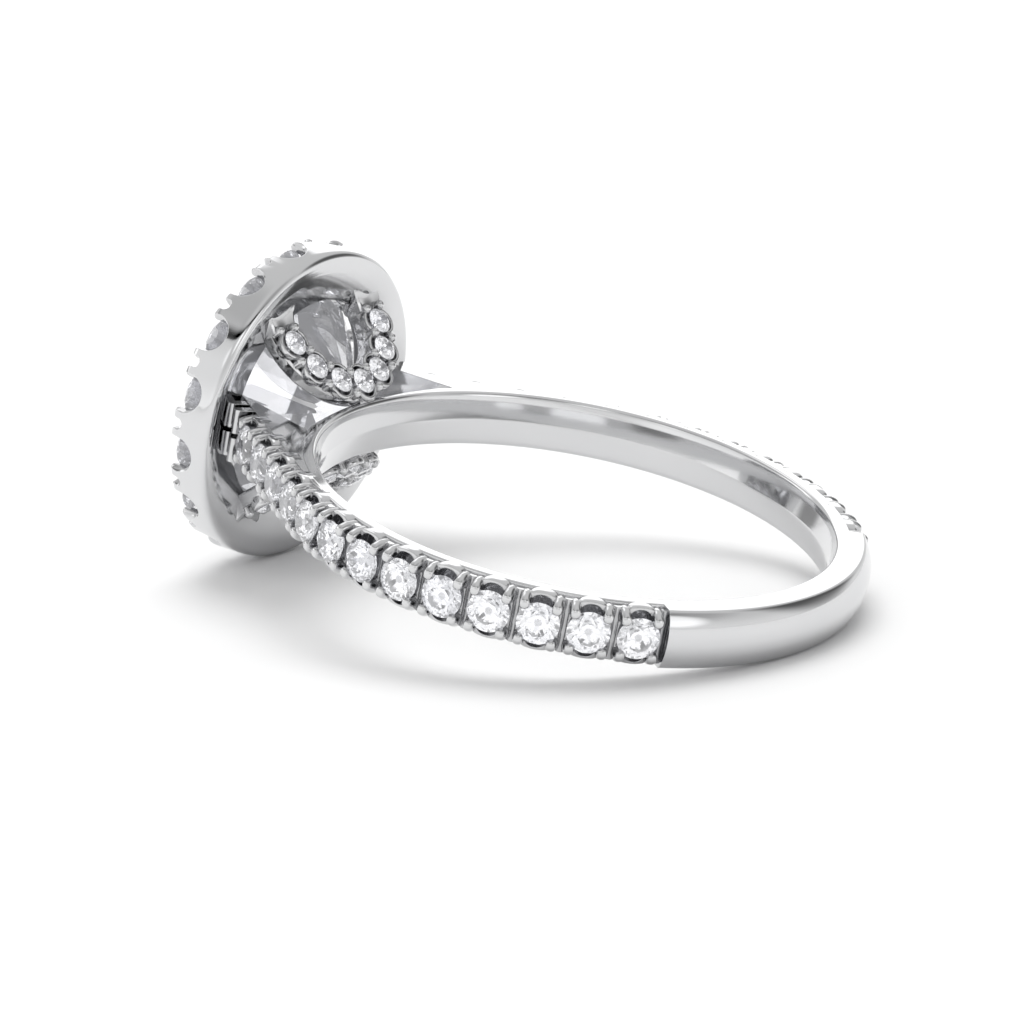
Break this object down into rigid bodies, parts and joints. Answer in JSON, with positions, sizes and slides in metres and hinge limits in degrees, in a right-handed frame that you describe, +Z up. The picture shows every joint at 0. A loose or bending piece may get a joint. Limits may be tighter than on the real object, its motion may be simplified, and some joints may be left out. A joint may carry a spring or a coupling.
{
  "type": "halo ring",
  "caption": "Finger ring lying on its side: round centre stone in a round stone-set halo, with stone-set shoulders and gallery arches and a plain domed back.",
  "frame": {"origin": "on the table under the middle of the ring's outer box, with the ring lying on its side", "axes": "-X from the middle of the finger hole towards the head, along the table; +Z up from the table; the finger hole's axis leans 12.4 degrees from +Z towards +X"},
  "size_m": [0.0222, 0.0188, 0.0106],
  "materials": {
    "white_gold": "mirror polished white precious metal",
    "diamond": "clear cut stone"
  },
  "bodies": {
    "root": {"mount": "white_gold", "centre_stone": "diamond", "halo_stones": "diamond", "near_shoulder_stones": "diamond", "far_shoulder_stones": "diamond", "upper_gallery_stones": "diamond", "lower_gallery_stones": "diamond"}
  },
  "joints": []
}
